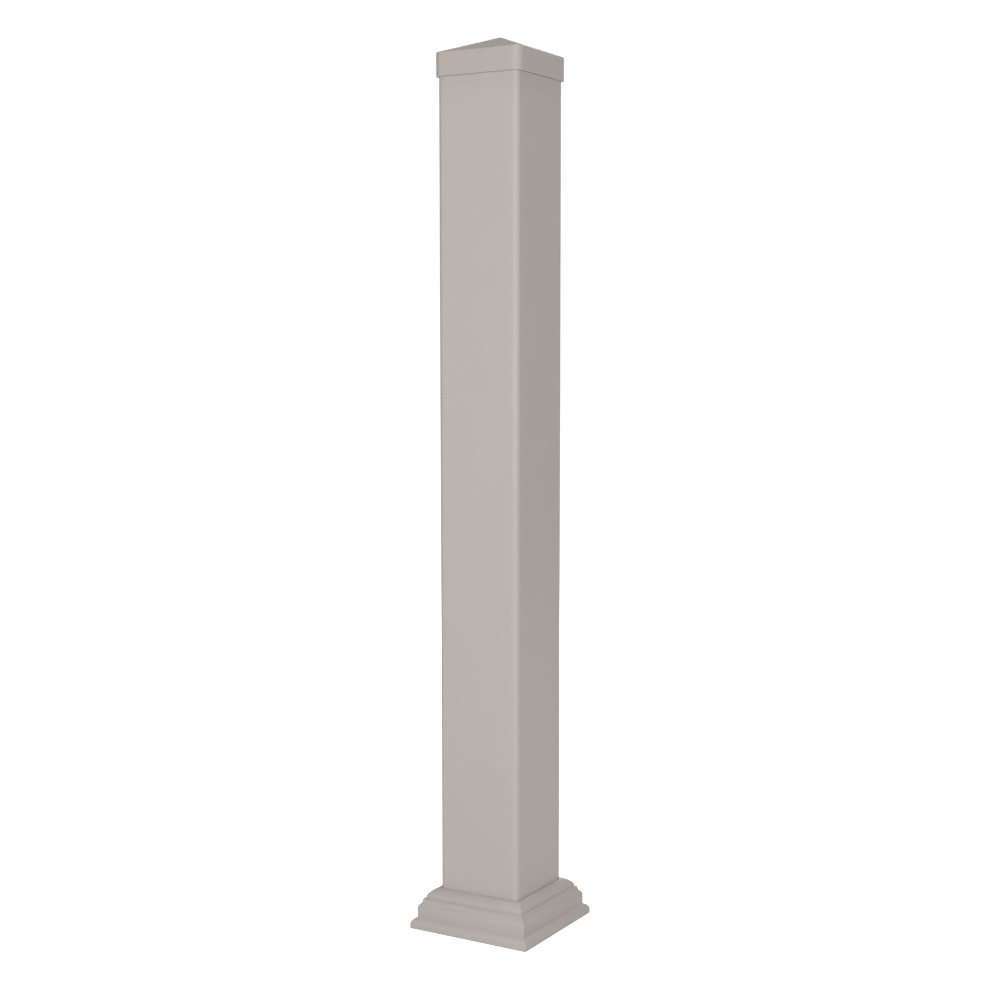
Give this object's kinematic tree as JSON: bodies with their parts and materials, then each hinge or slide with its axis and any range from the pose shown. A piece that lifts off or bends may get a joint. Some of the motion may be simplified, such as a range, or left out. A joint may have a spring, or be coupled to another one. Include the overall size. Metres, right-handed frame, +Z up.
{
  "type": "railing post sleeve",
  "caption": "Square hollow vinyl railing post sleeve with a stepped base skirt and a slip-over pyramid cap, in warm grey satin plastic.",
  "frame": {"origin": "on the deck, at the middle of the sleeve and of the skirt's underside", "axes": "+Z up along the sleeve, +X and +Y square to its sides; the front in the picture faces -Y"},
  "size_m": [0.1524, 0.1524, 0.9997],
  "materials": {
    "sleeve_vinyl": "satin extruded vinyl, warm grey",
    "cap_vinyl": "satin moulded vinyl, warm grey",
    "skirt_vinyl": "satin moulded vinyl, warm grey"
  },
  "bodies": {
    "root": {"post_sleeve": "sleeve_vinyl", "post_cap": "cap_vinyl", "base_skirt": "skirt_vinyl"}
  },
  "joints": []
}
